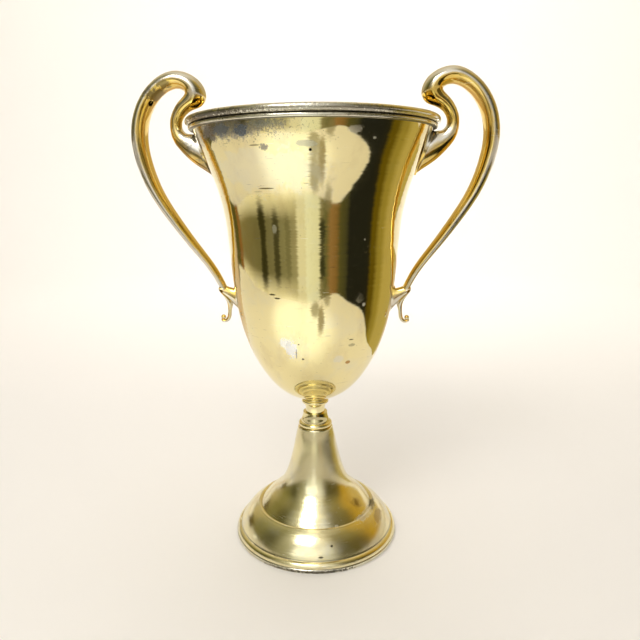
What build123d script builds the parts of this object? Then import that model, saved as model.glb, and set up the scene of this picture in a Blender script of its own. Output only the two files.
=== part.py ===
from build123d import *
from math import cos, radians, sin
import os

# Two-handled loving cup given as a bowling prize: a spun bowl on a turned neck and
# ferrule, a spun foot with a heavy edge wire, and two hollow struck handles.
# Millimetres. +Z is up, +X runs through the right handle, -Y is the front.
# The origin is the centre of the face that the foot rests on.

# --- foot -------------------------------------------------------------------
foot_radius = 61.0
foot_height = 83.4
foot_sheet = 1.0
foot_wire_height = 3.0
foot_wire_width = 3.6
foot_wire_round = 0.9
flange_lap = 0.4
flange_bulge = 0.9
flange_top_radius = 57.6
flange_top_height = 6.8
dome_foot_radius = 56.9
dome_foot_height = 8.0
dome_bulge = 1.4
ridge_radius = 43.0
ridge_height = 22.9
ridge_half_width = 1.2
ridge_rise = 0.6
foot_top_radius = 12.4
foot_shoulder = 1.0

# --- ferrule and neck ----------------------------------------------------------
ferrule_height = 10.9
ferrule_top_radius = 8.9
ferrule_waist_radius = 10.4
ferrule_bead_radius = 12.4
ferrule_bead_height = 3.8
neck_height = 10.7
neck_waist_radius = 7.1
neck_bead_radius = 9.9
neck_bead_height = 2.9
neck_groove = 0.8
neck_seat_radius = 8.0
neck_tenon_step = 1.2
neck_tenon_depth = 6.0
socket_clearance = 0.1

# --- tie stud, washers and nut, hidden in the foot -----------------------------
stud_radius = 2.5
stud_clearance = 0.3
stud_thread_depth = 13.0
stud_free_end = 3.5
washer_radius = 9.5
washer_thickness = 1.2
lock_washer_radius = 4.6
lock_washer_thickness = 1.3
lock_washer_gap = 1.2
nut_across_flats = 9.0
nut_height = 4.2

# --- bowl -------------------------------------------------------------------
bowl_height = 194.2
bowl_sheet = 1.0
mouth_radius = 80.9
body_radius = 58.2
belly_radius = 48.4

# --- rim moulding --------------------------------------------------------------
rim_height = 7.4
rim_bead_diameter = 4.4
rim_projection = 2.9
band_height = 2.7
band_projection = 1.6
rim_proud = 0.8
rim_set_back = 0.6

# --- handles ------------------------------------------------------------------
handle_reach = 1.0
handle_wall = 1.1
vent_radius = 2.0
upper_pad_length = 28.5
upper_pad_half_width = 8.6
upper_pad_thickness = 1.5
upper_pad_gap = 0.3
upper_joint_share = 0.45
lower_pad_length = 18.0
lower_pad_half_width = 5.4
lower_pad_thickness = 1.0
lower_pad_share = 0.383
boss_neck = (65.0, 184.6)
scroll_ball_radius = 1.7
scroll_ball_middle = (66.0, 165.3)
vent_station = (110.5, 314.0)
vent_tilt = 36

# --- heights that follow from the sizes above ------------------------------------
ferrule_base = foot_height
ferrule_top = ferrule_base + ferrule_height
neck_top = ferrule_top + neck_height
bowl_base = neck_top
bowl_top = bowl_base + bowl_height
rim_top = bowl_top + rim_proud
rim_base = rim_top - rim_height


def point(radius, height):
    """A point of a half section, in the XZ plane."""
    return Vector(radius, 0, height)


def shifted(points, distance):
    """The points moved square to the line through them, outwards for a positive distance."""
    moved = []
    for i, here in enumerate(points):
        before = points[max(i - 1, 0)]
        after = points[min(i + 1, len(points) - 1)]
        along = (after - before).normalized()
        moved.append(here + Vector(along.Z, 0, -along.X) * distance)
    return moved


def turned(edges):
    """The solid made by turning a closed half section about Z."""
    return revolve(Face(Wire(edges)), Axis.Z, 360).solid()


def disc(radius, bottom, top):
    """A plain cylinder about Z between two heights."""
    return Pos(0, 0, bottom) * Cylinder(radius, top - bottom, align=(Align.CENTER, Align.CENTER, Align.MIN))


def one(shape):
    """The single solid that a boolean left."""
    return max(shape.solids(), key=lambda solid: solid.volume)


# --- bowl: one sheet spun to a flared mouth over a round-bottomed body -----------
bowl_outline = [
    point(neck_seat_radius, bowl_base),
    point(0.45 * belly_radius, bowl_base + 0.035 * bowl_height),
    point(0.80 * belly_radius, bowl_base + 0.134 * bowl_height),
    point(belly_radius, bowl_base + 0.242 * bowl_height),
    point(0.94 * body_radius, bowl_base + 0.380 * bowl_height),
    point(body_radius, bowl_base + 0.561 * bowl_height),
    point(1.055 * body_radius, bowl_base + 0.706 * bowl_height),
    point(0.860 * mouth_radius, bowl_base + 0.845 * bowl_height),
    point(0.950 * mouth_radius, bowl_base + 0.936 * bowl_height),
    point(mouth_radius, bowl_top),
]


def bowl_form(distance, top_height):
    """The solid inside the bowl's outline, grown by a distance and closed up to a height."""
    skin = Spline(shifted(bowl_outline, distance))
    low = skin @ 0
    high = skin @ 1
    corner = point(high.X, top_height)
    edges = [skin]
    if top_height > high.Z + 0.001:
        edges.append(Line(high, corner))
    edges.append(Line(corner, point(0, corner.Z)))
    edges.append(Line(point(0, corner.Z), point(0, low.Z)))
    edges.append(Line(point(0, low.Z), low))
    return turned(edges)


def bowl_shell():
    outside = bowl_form(0, bowl_top)
    inside = shifted(bowl_outline, -bowl_sheet)
    floor_height = bowl_base + bowl_sheet
    floor = point(neck_seat_radius, floor_height)
    skin = Spline([floor] + inside[1:])
    high = skin @ 1
    lip = point(high.X, bowl_top + bowl_sheet)
    edges = [skin, Line(high, lip), Line(lip, point(0, lip.Z))]
    edges.append(Line(point(0, lip.Z), point(0, floor_height)))
    edges.append(Line(point(0, floor_height), floor))
    return one(outside - turned(edges))


# --- rim moulding: a drawn strip with a bead over a reed, soldered round the mouth ----
def rim_moulding():
    bead_radius = rim_bead_diameter / 2
    bead_middle = mouth_radius + rim_projection - bead_radius
    reed_radius = band_height / 2
    reed_middle = mouth_radius + band_projection - reed_radius - rim_set_back
    back = 0.93 * mouth_radius
    corner = point(back, rim_base)
    reed_foot = point(reed_middle, rim_base)
    reed_nose = point(reed_middle + reed_radius, rim_base + reed_radius)
    reed_head = point(reed_middle, rim_base + band_height)
    bead_foot = point(bead_middle, rim_top - rim_bead_diameter)
    bead_nose = point(bead_middle + bead_radius, rim_top - bead_radius)
    bead_head = point(bead_middle, rim_top)
    lip = point(mouth_radius, bowl_top)
    inner_lip = point(back, bowl_top)
    strip = turned([
        Line(corner, reed_foot),
        ThreePointArc(reed_foot, reed_nose, reed_head),
        Line(reed_head, bead_foot),
        ThreePointArc(bead_foot, bead_nose, bead_head),
        Line(bead_head, lip),
        Line(lip, inner_lip),
        Line(inner_lip, corner),
    ])
    return one(strip - bowl_form(0, bowl_top))


# --- neck: turned, with a bead under the bowl and a tenon down into the ferrule -------
def neck():
    bead_middle = neck_top - neck_groove - neck_bead_height / 2
    bead_low = point(neck_bead_radius - neck_bead_height / 2, bead_middle - neck_bead_height / 2)
    bead_nose = point(neck_bead_radius, bead_middle)
    bead_high = point(neck_bead_radius - neck_bead_height / 2, bead_middle + neck_bead_height / 2)
    seat = point(neck_seat_radius, neck_top)
    waist = point(neck_waist_radius, ferrule_top + 0.3 * neck_height)
    shoulder = point(neck_waist_radius, ferrule_top)
    tenon_radius = neck_waist_radius - neck_tenon_step
    tenon_low = point(tenon_radius, ferrule_top - neck_tenon_depth)
    tenon_high = point(tenon_radius, ferrule_top)
    body = turned([
        Line(seat, bead_high),
        ThreePointArc(bead_high, bead_nose, bead_low),
        Spline([bead_low, waist, shoulder], tangents=[Vector(-0.6, 0, -1), Vector(0, 0, -1)]),
        Line(shoulder, tenon_high),
        Line(tenon_high, tenon_low),
        Line(tenon_low, point(0, tenon_low.Z)),
        Line(point(0, tenon_low.Z), point(0, neck_top)),
        Line(point(0, neck_top), seat),
    ])
    thread = disc(stud_radius, tenon_low.Z, tenon_low.Z + stud_thread_depth)
    return one(body - thread)


# --- ferrule: turned, flaring to a bead where it stands on the foot ------------------
def ferrule():
    half_bead = ferrule_bead_height / 2
    top = point(ferrule_top_radius, ferrule_top)
    waist = point(ferrule_waist_radius, ferrule_base + ferrule_bead_height + 0.9)
    bead_top = point(ferrule_bead_radius - half_bead, ferrule_base + ferrule_bead_height)
    bead_nose = point(ferrule_bead_radius, ferrule_base + half_bead)
    bead_low = point(ferrule_bead_radius - half_bead, ferrule_base)
    body = turned([
        Line(point(0, ferrule_top), top),
        Spline([top, waist, bead_top]),
        ThreePointArc(bead_top, bead_nose, bead_low),
        Line(bead_low, point(0, ferrule_base)),
        Line(point(0, ferrule_base), point(0, ferrule_top)),
    ])
    socket_radius = neck_waist_radius - neck_tenon_step + socket_clearance
    socket = disc(socket_radius, ferrule_top - neck_tenon_depth - socket_clearance, ferrule_top)
    bore = disc(stud_radius + stud_clearance, ferrule_base, ferrule_top)
    return one(body - socket - bore)


# --- foot: one spun sheet, from the flange over the dome and ridge up the bell --------
# The bell's points are shares of its rise and of its spread, from the ridge to the shoulder.
bell_shape = [
    (0, 1),
    (0.13, 0.75),
    (0.26, 0.47),
    (0.38, 0.33),
    (0.55, 0.21),
    (0.75, 0.11),
    (0.92, 0.04),
    (1, 0),
]


def bulged(start, end, bulge):
    """The middle of a chord, pushed square to it by a bulge."""
    along = (end - start).normalized()
    return (start + end) / 2 + Vector(along.Z, 0, -along.X) * bulge


def foot_outline():
    flange_low = point(foot_radius - flange_lap, foot_wire_height)
    flange_high = point(flange_top_radius, flange_top_height)
    dome_low = point(dome_foot_radius, dome_foot_height)
    dome_high = point(ridge_radius + ridge_half_width, ridge_height - ridge_rise)
    crest = point(ridge_radius, ridge_height)
    bell_low = point(ridge_radius - ridge_half_width, ridge_height - ridge_rise)
    bell_high = point(foot_top_radius + foot_shoulder / 2, foot_height - foot_shoulder)
    rise = bell_high.Z - bell_low.Z
    spread = bell_low.X - bell_high.X
    bell = [point(bell_high.X + out * spread, bell_low.Z + up * rise) for up, out in bell_shape]
    flange_mid = bulged(flange_low, flange_high, flange_bulge)
    dome_mid = bulged(dome_low, dome_high, dome_bulge)
    return [flange_low, flange_mid, flange_high, dome_low, dome_mid, dome_high, crest] + bell


def foot_form(inset):
    """The solid inside the foot's outline, shrunk by an inset."""
    outline = shifted(foot_outline(), -inset)
    outline[0] = point(outline[0].X, foot_wire_height)
    shoulder = point(foot_top_radius - inset, foot_height - inset)
    return turned([
        ThreePointArc(*outline[0:3]),
        Line(outline[2], outline[3]),
        ThreePointArc(*outline[3:6]),
        ThreePointArc(*outline[5:8]),
        Spline(outline[7:]),
        Line(outline[-1], shoulder),
        Line(shoulder, point(0, shoulder.Z)),
        Line(point(0, shoulder.Z), point(0, foot_wire_height)),
        Line(point(0, foot_wire_height), outline[0]),
    ])


def foot_shell():
    bore = disc(stud_radius + stud_clearance, foot_height - 2 * foot_sheet, foot_height)
    return one(foot_form(0) - foot_form(foot_sheet) - bore)


def foot_wire():
    """The heavy edge wire that the foot stands on, soldered under the flange."""
    ring = disc(foot_radius, 0, foot_wire_height)
    ring = ring - disc(foot_radius - foot_wire_width, 0, foot_wire_height)
    outer_edges = ring.edges().filter_by(GeomType.CIRCLE).sort_by(lambda edge: edge.radius)[-2:]
    return one(fillet(outer_edges, min(foot_wire_round, 0.45 * foot_wire_height)))


# --- tie stud, washers and nut that pull the foot up to the neck ----------------------
ceiling = foot_height - foot_sheet
washer_base = ceiling - washer_thickness
lock_washer_base = washer_base - lock_washer_thickness
nut_base = lock_washer_base - nut_height
stud_base = nut_base - stud_free_end
stud_top = ferrule_top - neck_tenon_depth + stud_thread_depth


def tie_stud():
    rod = disc(stud_radius, stud_base, stud_top)
    return one(chamfer(rod.edges().filter_by(GeomType.CIRCLE).sort_by(Axis.Z)[0], 0.5))


def bored_disc(radius, bore_radius, bottom, top):
    return disc(radius, bottom, top) - disc(bore_radius, bottom, top)


def flat_washer():
    return one(bored_disc(washer_radius, stud_radius + stud_clearance, washer_base, ceiling))


def lock_washer():
    ring = bored_disc(lock_washer_radius, stud_radius + stud_clearance, lock_washer_base, washer_base)
    split = Pos(lock_washer_radius, 0, lock_washer_base + lock_washer_thickness / 2) * Box(
        2 * lock_washer_radius, lock_washer_gap, lock_washer_thickness)
    return one(ring - split)


def hex_nut():
    hexagon = RegularPolygon(nut_across_flats / 2, 6, major_radius=False)
    blank = Pos(0, 0, nut_base) * extrude(hexagon, nut_height)
    return one(blank - disc(stud_radius, nut_base, nut_base + nut_height))


# --- handles: drawn for the cup's own size, then fitted between the two pads ----------
# Each station is a section square to the strap: its middle (reach and height), the tilt of
# its thickness from +X, and half its thickness and half its width.
stations = [
    (73.2, 277.6, 68, 15.0, 7.4),
    (78.6, 280.4, 72, 12.4, 7.1),
    (83.8, 283.2, 82, 9.4, 6.4),
    (88.4, 287.3, 101, 6.6, 5.6),
    (91.7, 292.0, 133, 4.9, 5.0),
    (92.6, 296.8, 163, 4.1, 4.9),
    (92.0, 301.4, 185, 4.1, 5.2),
    (89.5, 306.2, 200, 4.4, 6.0),
    (85.4, 310.1, 206, 5.4, 7.0),
    (80.6, 313.1, 203, 6.8, 8.2),
    (78.3, 316.9, 188, 7.0, 9.0),
    (79.2, 321.0, 163, 6.4, 9.4),
    (83.6, 325.0, 126, 5.7, 9.5),
    (91.8, 326.8, 92, 5.5, 9.5),
    (101.0, 323.4, 66, 5.2, 9.5),
    (110.0, 314.8, 37, 5.0, 9.5),
    (116.2, 302.2, 12, 5.0, 9.5),
    (118.0, 287.5, -3, 5.0, 9.2),
    (115.1, 270.5, -18, 4.8, 8.8),
    (107.8, 252.0, -27, 4.2, 8.0),
    (96.5, 233.8, -33, 3.6, 7.0),
    (82.6, 214.6, -35, 3.0, 5.9),
    (71.0, 198.6, -33, 2.6, 4.9),
    (64.4, 186.0, -22, 2.4, 4.2),
]
tail_stations = [
    (64.4, 186.0, -22, 2.4, 4.2),
    (62.0, 178.5, -12, 1.8, 3.4),
    (61.0, 171.5, 0, 1.4, 2.6),
    (61.6, 166.2, 22, 1.3, 2.2),
    (63.5, 163.0, 62, 1.3, 2.0),
    (65.7, 162.6, 110, 1.2, 1.9),
    (66.7, 164.2, 165, 1.1, 1.8),
]
# The boss: how far out from the pad, how far above its middle, slope, half height, half width.
boss_sections = [
    (-2.5, -0.4, 0.1, 8.0, 4.6),
    (2.6, 2.4, 0.2, 5.2, 3.7),
]
boss_neck_half_height = 4.0
boss_neck_half_width = 3.4
drawn_upper = point(75.6, 279.5)
drawn_lower = point(56.0, 179.0)

upper_pad_top = rim_base - upper_pad_gap
upper_pad_base = upper_pad_top - upper_pad_length
lower_pad_middle = bowl_base + lower_pad_share * bowl_height


def wall_radius(height, distance):
    """The bowl's outside radius at a height, grown by a distance."""
    skin = Spline(shifted(bowl_outline, distance))
    low = 0.0
    high = 1.0
    while high - low > 0.00001:
        middle = (low + high) / 2
        if (skin @ middle).Z < height:
            low = middle
        else:
            high = middle
    return (skin @ low).X


upper_joint_height = upper_pad_top - upper_joint_share * upper_pad_length
upper_joint = point(wall_radius(upper_joint_height, upper_pad_thickness), upper_joint_height)
lower_joint = point(wall_radius(lower_pad_middle, lower_pad_thickness), lower_pad_middle)


def fitted(reach, height):
    """A drawn handle point, moved so that the handle runs between the two pads."""
    share = (height - drawn_lower.Z) / (drawn_upper.Z - drawn_lower.Z)
    drawn_chord = drawn_lower + (drawn_upper - drawn_lower) * share
    chord = lower_joint + (upper_joint - lower_joint) * share
    return chord + Vector(handle_reach * (reach - drawn_chord.X), 0, 0)


def section_plane(station):
    reach, height, tilt = station[:3]
    across = Vector(cos(radians(tilt)), 0, sin(radians(tilt)))
    return Plane(origin=fitted(reach, height), x_dir=across, z_dir=across.cross(Vector(0, 1, 0)))


def oval(station):
    """A full oval section of the strap."""
    return section_plane(station) * Ellipse(station[3], station[4])


def half_ring(station):
    """The back half of the strap's wall at a station."""
    outer_x, outer_y = station[3:]
    inner_x = outer_x - handle_wall
    inner_y = outer_y - handle_wall
    outer = EllipticalCenterArc((0, 0), outer_x, outer_y, start_angle=0, arc_size=180)
    inner = EllipticalCenterArc((0, 0), inner_x, inner_y, start_angle=0, arc_size=180)
    ring = Wire([outer, Line((-outer_x, 0), (-inner_x, 0)), inner, Line((inner_x, 0), (outer_x, 0))])
    return section_plane(station) * Face(ring)


def handle_half():
    """The back half of the right handle, from the upper pad down to the tail."""
    half = loft([half_ring(station) for station in stations])
    half = half - bowl_form(upper_pad_thickness, bowl_top)
    return one(half - disc(mouth_radius + rim_projection + upper_pad_gap, upper_pad_top, rim_top))


def vent_drill():
    """A drill that opens the hollow handle on its inner side, just below the arch."""
    across = Vector(cos(radians(vent_tilt)), 0, sin(radians(vent_tilt)))
    way = (across * -0.62 + Vector(0, 0.78, 0)).normalized()
    start = Plane(origin=fitted(*vent_station), z_dir=way)
    return start * Cylinder(vent_radius, 15.0, align=(Align.CENTER, Align.CENTER, Align.MIN))


def leaf(length, half_width, base, widest):
    """A leaf-shaped prism along X, pointed below and rounded above."""
    flanks = []
    for side in (1, -1):
        tip = Vector(0, 0, base)
        low = Vector(0, side * 0.62 * half_width, base + 0.5 * widest * length)
        broad = Vector(0, side * half_width, base + widest * length)
        top = Vector(0, 0, base + length)
        ends = [Vector(0, 0.35 * side, 1), Vector(0, -side, 0)]
        flanks.append(Spline([tip, low, broad, top], tangents=ends))
    return extrude(Face(Wire(flanks)), 2 * mouth_radius, dir=(1, 0, 0))


def upper_pad():
    sheet = bowl_form(upper_pad_thickness, bowl_top) - bowl_form(0, bowl_top)
    return one(sheet & leaf(upper_pad_length, upper_pad_half_width, upper_pad_base, 0.62))


def lower_pad():
    sheet = bowl_form(lower_pad_thickness, bowl_top) - bowl_form(0, bowl_top)
    base = lower_pad_middle - lower_pad_length / 2
    return one(sheet & leaf(lower_pad_length, lower_pad_half_width, base, 0.6))


def tail_scroll():
    """The solid tail that closes the hollow strap and curls outwards to a small ball."""
    tail = loft([oval(station) for station in tail_stations])
    ball = Pos(fitted(*scroll_ball_middle)) * Sphere(scroll_ball_radius)
    return one(tail + ball)


def lower_boss(strap, tail):
    """The trumpet-shaped boss between the lower pad and the strap's lower end."""
    sections = []
    for out, rise, tilt, half_height, half_width in boss_sections:
        middle = point(lower_joint.X + out, lower_pad_middle + rise)
        sections.append(Plane(origin=middle, z_dir=(1, 0, tilt)) * Ellipse(half_height, half_width))
    neck_plane = Plane(origin=fitted(*boss_neck), z_dir=(1, 0, 0.3))
    sections.append(neck_plane * Ellipse(boss_neck_half_height, boss_neck_half_width))
    return one(loft(sections) - bowl_form(lower_pad_thickness, bowl_top) - strap - tail)


# --- write one file for each piece ------------------------------------------------
pieces = {
    "bowl": bowl_shell(),
    "rim_moulding": rim_moulding(),
    "neck": neck(),
    "ferrule": ferrule(),
    "foot_shell": foot_shell(),
    "foot_wire": foot_wire(),
    "tie_stud": tie_stud(),
    "flat_washer": flat_washer(),
    "lock_washer": lock_washer(),
    "hex_nut": hex_nut(),
}

plain_half = handle_half()
tail = tail_scroll()
strap = loft([oval(station) for station in stations])
handle_pieces = {
    "handle_inner_half": mirror(plain_half, Plane.XZ),
    "handle_vented_half": one(plain_half - vent_drill()),
    "upper_pad": upper_pad(),
    "lower_pad": lower_pad(),
    "lower_boss": lower_boss(strap, tail),
    "tail_scroll": tail,
}
for side, turn in (("right", 0), ("left", 180)):
    for name, solid in handle_pieces.items():
        pieces[side + "_" + name] = Rot(0, 0, turn) * solid

os.makedirs("parts", exist_ok=True)
for name, solid in pieces.items():
    export_step(solid, "parts/" + name + ".step")
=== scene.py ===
# Two-handled loving cup in gold-plated brass: a spun bowl with a soldered rim moulding,
# a turned neck and ferrule, a spun foot on an edge wire, and two hollow struck handles.
# Metres. +Z is up, +X runs through the right handle, and -Y is the front.
import math

import bpy
import numpy as np
from mathutils import Matrix, Vector


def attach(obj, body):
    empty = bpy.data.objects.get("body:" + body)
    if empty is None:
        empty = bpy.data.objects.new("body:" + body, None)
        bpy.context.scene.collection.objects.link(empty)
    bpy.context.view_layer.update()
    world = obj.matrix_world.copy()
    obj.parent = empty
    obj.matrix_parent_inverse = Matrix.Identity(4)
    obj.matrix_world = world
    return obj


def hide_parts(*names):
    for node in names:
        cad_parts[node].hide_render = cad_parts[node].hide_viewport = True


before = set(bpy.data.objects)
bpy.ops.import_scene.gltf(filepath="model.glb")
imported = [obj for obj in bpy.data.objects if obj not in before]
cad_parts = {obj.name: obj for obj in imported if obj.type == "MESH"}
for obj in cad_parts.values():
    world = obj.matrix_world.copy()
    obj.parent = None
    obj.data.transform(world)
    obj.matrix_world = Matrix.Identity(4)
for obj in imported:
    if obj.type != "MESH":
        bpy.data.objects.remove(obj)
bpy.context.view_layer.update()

# ---------------------------------------------------------------------------
# Bowl. One sheet of brass, spun over a chuck to a round body with a flared mouth,
# then polished and gold plated. It stands on the neck and carries everything above it.
# ---------------------------------------------------------------------------
MM = 0.001
BOWL_TOP = 299.2
SHEET = 1.0
BOWL_OUTLINE = [(8.0, 105.0), (21.8, 111.8), (38.7, 131.0), (48.4, 152.0), (54.7, 178.8),
                (58.2, 213.9), (61.4, 242.1), (69.6, 269.1), (76.9, 286.8), (80.9, BOWL_TOP)]
LIP_ROUND = 0.3
LIP_EASE = 0.08
SEAM_GAP = 0.002
BOWL_ROWS = 110
BOWL_FACETS = 256


def line_through(knots, rows):
    """Evenly spaced points on the natural cubic spline through knots, paced by their first two numbers."""
    knots = np.array(knots, float)
    step = np.linalg.norm(np.diff(knots[:, :2], axis=0), axis=1)
    reached = np.concatenate([[0], np.cumsum(step)])
    last = len(knots) - 1
    system = np.eye(last + 1)
    slopes = np.zeros_like(knots)
    for i in range(1, last):
        system[i, i - 1:i + 2] = step[i - 1], 2 * (step[i - 1] + step[i]), step[i]
        slopes[i] = 3 * ((knots[i + 1] - knots[i]) / step[i] - (knots[i] - knots[i - 1]) / step[i - 1])
    bend = np.linalg.solve(system, slopes)
    at = np.linspace(0, reached[-1], rows)
    span = np.clip(np.searchsorted(reached, at, side="right") - 1, 0, last - 1)
    past = (at - reached[span])[:, None]
    length = step[span][:, None]
    start = (knots[span + 1] - knots[span]) / length - length * (2 * bend[span] + bend[span + 1]) / 3
    change = (bend[span + 1] - bend[span]) / (3 * length)
    return knots[span] + start * past + bend[span] * past ** 2 + change * past ** 3


def moved_out(line, distance):
    """A half section's line moved square to itself, away from the axis for a positive distance."""
    along = np.gradient(np.array(line, float), axis=0)
    along /= np.linalg.norm(along, axis=1)[:, None]
    return np.array(line) + np.column_stack([along[:, 1], -along[:, 0]]) * distance


def node(tree, kind, inputs=(), **settings):
    """Adds one node with its settings, and links or sets its inputs."""
    made = tree.nodes.new(kind)
    for name, value in settings.items():
        setattr(made, name, value)
    for key, value in dict(inputs).items():
        if isinstance(value, bpy.types.NodeSocket):
            tree.links.new(value, made.inputs[key])
        else:
            made.inputs[key].default_value = value
    return made


def spinning_tree():
    """The lathe: turns the points of a half section about Z, closes seam and poles, sets the finish."""
    tree = bpy.data.node_groups.new("spun_about_the_axis", "GeometryNodeTree")
    for name, kind in (("Half section", "NodeSocketGeometry"), ("Facets round", "NodeSocketInt"),
                       ("Crease angle", "NodeSocketFloat"), ("Finish", "NodeSocketMaterial")):
        tree.interface.new_socket(name, in_out="INPUT", socket_type=kind)
    tree.interface.new_socket("Spun piece", in_out="OUTPUT", socket_type="NodeSocketGeometry")
    given = node(tree, "NodeGroupInput").outputs
    count = node(tree, "GeometryNodeAttributeDomainSize", {0: given["Half section"]}).outputs["Point Count"]
    columns = node(tree, "ShaderNodeMath", {0: given["Facets round"], 1: 1.0}, operation="ADD").outputs[0]
    sheet = node(tree, "GeometryNodeMeshGrid", {"Vertices X": columns, "Vertices Y": count}).outputs["Mesh"]
    index = node(tree, "GeometryNodeInputIndex").outputs[0]
    row = node(tree, "ShaderNodeMath", {0: index, 1: count}, operation="MODULO").outputs[0]
    turn = node(tree, "ShaderNodeMath", {0: index, 1: count}, operation="DIVIDE").outputs[0]
    column = node(tree, "ShaderNodeMath", {0: turn}, operation="FLOOR").outputs[0]
    share = node(tree, "ShaderNodeMath", {0: column, 1: given["Facets round"]}, operation="DIVIDE").outputs[0]
    angle = node(tree, "ShaderNodeMath", {0: share, 1: 2 * math.pi}, operation="MULTIPLY").outputs[0]
    place = node(tree, "GeometryNodeInputPosition").outputs[0]
    drawn = node(tree, "GeometryNodeSampleIndex",
                 {0: given["Half section"], 1: place, 2: row}, data_type="FLOAT_VECTOR", domain="POINT")
    parts = node(tree, "ShaderNodeSeparateXYZ", {0: drawn.outputs[0]}).outputs
    cosine = node(tree, "ShaderNodeMath", {0: angle}, operation="COSINE").outputs[0]
    sine = node(tree, "ShaderNodeMath", {0: angle}, operation="SINE").outputs[0]
    out = node(tree, "ShaderNodeMath", {0: parts["X"], 1: cosine}, operation="MULTIPLY").outputs[0]
    back = node(tree, "ShaderNodeMath", {0: parts["X"], 1: sine}, operation="MULTIPLY").outputs[0]
    spot = node(tree, "ShaderNodeCombineXYZ", {0: out, 1: back, 2: parts["Z"]}).outputs[0]
    turned = node(tree, "GeometryNodeSetPosition", {"Geometry": sheet, "Position": spot}).outputs[0]
    closed = node(tree, "GeometryNodeMergeByDistance",
                  {"Geometry": turned, "Distance": SEAM_GAP * MM}).outputs[0]
    smooth = node(tree, "GeometryNodeSetShadeSmooth",
                  {"Geometry": closed, "Shade Smooth": True}, domain="FACE").outputs[0]
    fold = node(tree, "GeometryNodeInputMeshEdgeAngle").outputs["Unsigned Angle"]
    sharp = node(tree, "ShaderNodeMath",
                 {0: fold, 1: given["Crease angle"]}, operation="GREATER_THAN").outputs[0]
    creased = node(tree, "GeometryNodeSetShadeSmooth",
                   {"Geometry": smooth, "Selection": sharp, "Shade Smooth": False}, domain="EDGE").outputs[0]
    real = node(tree, "GeometryNodeRealizeInstances", {0: creased}).outputs[0]
    finished = node(tree, "GeometryNodeSetMaterial",
                    {"Geometry": real, "Material": given["Finish"]}).outputs[0]
    node(tree, "NodeGroupOutput", {0: finished})
    return tree


def mesh_object(name, points, faces, finish=None):
    """A mesh object at the origin, with its place in its mesh, from millimetres."""
    mesh = bpy.data.meshes.new(name)
    mesh.from_pydata([tuple(float(v) * MM for v in p) for p in points], [], faces)
    mesh.shade_smooth()
    if finish:
        mesh.materials.append(finish)
    made = bpy.data.objects.new(name, mesh)
    bpy.context.scene.collection.objects.link(made)
    return made


def made_plain(piece):
    """Turns the result of a piece's modifiers into its own mesh, and removes them."""
    bpy.context.view_layer.update()
    done = piece.evaluated_get(bpy.context.evaluated_depsgraph_get())
    mesh = bpy.data.meshes.new_from_object(done)
    piece.modifiers.clear()
    piece.data = mesh
    mesh.name = piece.name
    return piece


lathe = spinning_tree()


def spun(name, section, finish, facets=BOWL_FACETS, crease=40):
    """A round piece turned from the points (radius, height) of its half section."""
    piece = mesh_object(name, [(r, 0, z) for r, z in section], [])
    turning = piece.modifiers.new("spun", "NODES")
    turning.node_group = lathe
    wanted = {"Facets round": facets, "Crease angle": math.radians(crease), "Finish": finish}
    for socket in lathe.interface.items_tree:
        if socket.name in wanted:
            turning[socket.identifier] = wanted[socket.name]
    return made_plain(piece)


def linear(colour):
    """A linear colour from an sRGB hex value."""
    levels = [int(colour[i:i + 2], 16) / 255 for i in (1, 3, 5)]
    return tuple(v / 12.92 if v <= 0.04045 else ((v + 0.055) / 1.055) ** 2.4 for v in levels) + (1.0,)


def finish_tree(name):
    """A new material with its node tree emptied but for the shader and its output."""
    made = bpy.data.materials.new(name)
    made.use_nodes = True
    tree = made.node_tree
    tree.nodes.clear()
    shader = node(tree, "ShaderNodeBsdfPrincipled")
    node(tree, "ShaderNodeOutputMaterial", {"Surface": shader.outputs[0]})
    return made, tree, shader


def patch(tree, place, middle, size, fray, spread):
    """A ragged patch: 1 inside, 0 outside, by its middle, half sizes and fraying in millimetres."""
    away = node(tree, "ShaderNodeVectorMath",
                {0: place, 1: tuple(v * MM for v in middle)}, operation="SUBTRACT")
    scaled = node(tree, "ShaderNodeVectorMath",
                  {0: away.outputs[0], 1: tuple(v * MM for v in size)}, operation="DIVIDE")
    reach = node(tree, "ShaderNodeVectorMath", {0: scaled.outputs[0]}, operation="LENGTH").outputs["Value"]
    frayed = node(tree, "ShaderNodeTexNoise", {"Vector": place, "Scale": 1 / (fray * MM), "Detail": 4.0,
                                              "Roughness": 0.7})
    shift = node(tree, "ShaderNodeMath",
                 {0: frayed.outputs[0], 1: spread, 2: reach}, operation="MULTIPLY_ADD")
    return node(tree, "ShaderNodeMapRange", {0: shift.outputs[0], 1: 0.7 + spread / 2, 2: 1.0 + spread / 2,
                                             3: 1.0, 4: 0.0}, interpolation_type="SMOOTHSTEP").outputs[0]


def worn_layer(tree, look, mask, tone, dulling):
    """Lays a tone over a surface's colour where a mask says, and makes it that much duller."""
    colour = node(tree, "ShaderNodeMix", {0: mask, 6: look[0], 7: linear(tone)}, data_type="RGBA").outputs[2]
    rough = node(tree, "ShaderNodeMath",
                 {0: mask, 1: dulling, 2: look[1]}, operation="MULTIPLY_ADD").outputs[0]
    return colour, rough


# Sizes of the finish, in millimetres unless they are shares, and the tones that show in it.
LATHE_LINE = 0.5
BUFFING_LINE = 2.4
SCRATCH_WIDTH = 0.67
SCRATCH_LENGTH = 14
CLOUD_WIDTH = 26
SPECK_GAP = 2.8
SPECKLESS_SHARE = 0.66
SPECK_DEPTH = 0.02
DENT_DEPTH = 0.35
LINE_WAVER = 0.2
WORN_NICKEL = "#E0DCCC"
SMEARED_FILM = "#CDB786"
# outer faces of the handles: nickel worn bare, partly painted reflection of the pale room
NICKEL_AND_PAINTED_SHEEN = "#DCDAD4"
RUBBED_TARNISH = "#5F5B52"
PIT_BROWN = "#6E6348"
SCRATCHES = [((0.5, 0.3, 0.4), "#FFF8E4"), ((-0.7, 0.5, -0.3), "#8A7A56")]


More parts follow.
